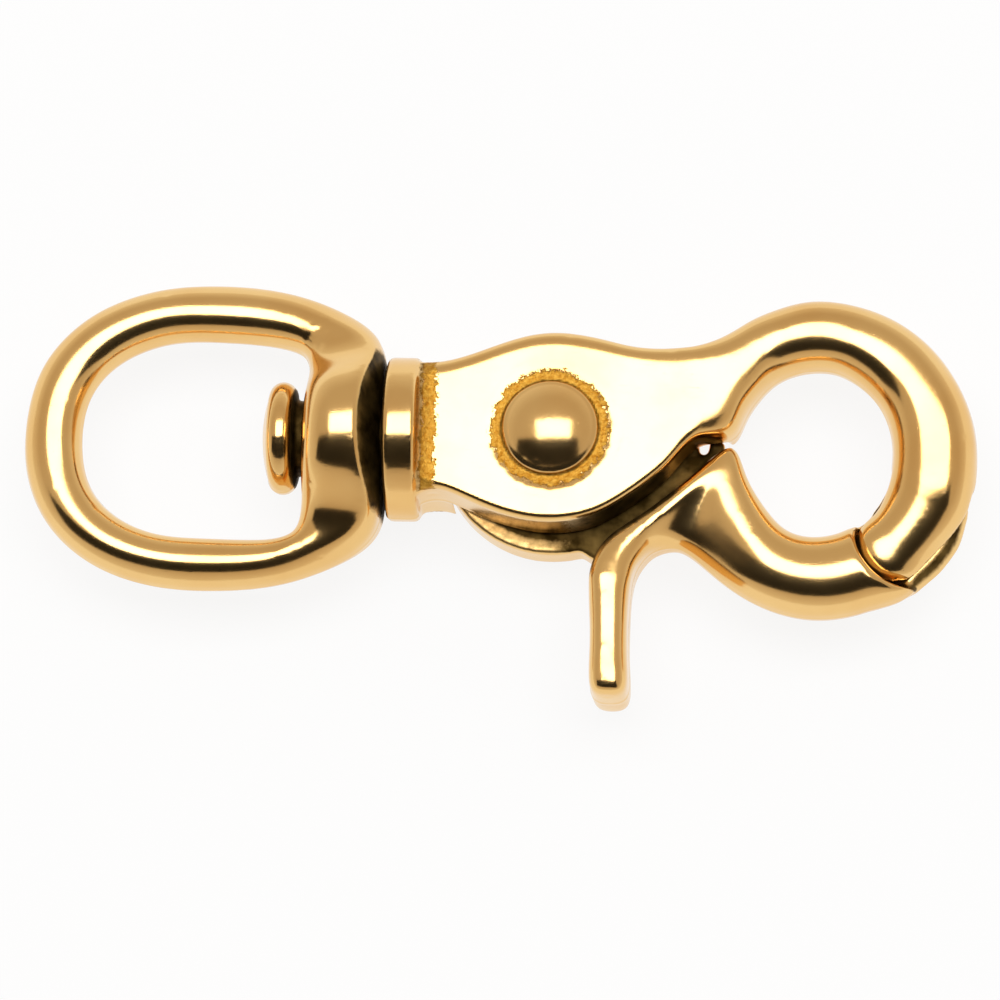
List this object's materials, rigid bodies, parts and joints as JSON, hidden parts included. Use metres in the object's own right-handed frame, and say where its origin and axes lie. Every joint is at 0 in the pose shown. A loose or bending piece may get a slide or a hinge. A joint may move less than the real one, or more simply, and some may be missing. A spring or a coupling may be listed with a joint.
{
  "type": "trigger snap hook",
  "caption": "Cast brass snap hook: a swivel strap eye on a peened stem, and a riveted, spring-closed trigger gate that laps the hook tip.",
  "frame": {"origin": "middle of the bounding box in plan, at the lowest point", "axes": "+X along the swivel axis from the strap eye to the hook ring, +Y away from the trigger finger, +Z out of the front face"},
  "size_m": [0.0906, 0.0406, 0.0176],
  "materials": {
    "cast_brass": "polished",
    "spring_wire": "drawn wire"
  },
  "bodies": {
    "body": {"hook_body": "cast_brass", "pivot_rivet": "cast_brass", "torsion_spring": "spring_wire"},
    "gate": {"trigger_gate": "cast_brass"},
    "eye": {"swivel_eye": "cast_brass"}
  },
  "joints": [
    {"name": "gate_pivot", "type": "hinge", "parent": "body", "child": "gate", "pos_m": [0.00518, 0.00527, 0.00595], "axis": [0, 0, -1], "range_deg": [0, 28], "stiffness_Nm_per_rad": 0.25, "springref_deg": -17.19, "deforming": ["torsion_spring"]},
    {"name": "eye_swivel", "type": "hinge", "parent": "body", "child": "eye", "pos_m": [-0.01482, 0.00527, 0.0088], "axis": [1, 0, 0], "continuous": true}
  ]
}
